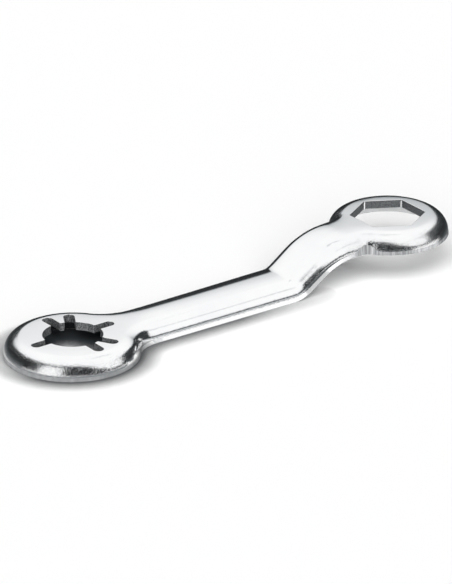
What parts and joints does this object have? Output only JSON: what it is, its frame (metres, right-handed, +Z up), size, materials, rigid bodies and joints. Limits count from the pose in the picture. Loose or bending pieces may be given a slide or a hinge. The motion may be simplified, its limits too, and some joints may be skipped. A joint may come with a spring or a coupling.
{
  "type": "flywheel wrench",
  "caption": "Chromed pressed-steel wrench with a slotted ring head for valve knobs, a flat shank, a cranked neck and a raised ring head with a hexagon socket.",
  "frame": {"origin": "on the resting plane, under the middle of the wrench's length and width", "axes": "+X from the slotted head to the hexagon head, +Y across the shank, +Z up, out of the top faces"},
  "size_m": [0.2342, 0.0612, 0.0228],
  "materials": {
    "chrome_plate": "bright polished chrome plate over pressed steel, duller on the trimmed edge and inside the sockets"
  },
  "bodies": {
    "root": {"slotted_head": "chrome_plate", "shank": "chrome_plate", "crank": "chrome_plate", "hex_head": "chrome_plate"}
  },
  "joints": []
}
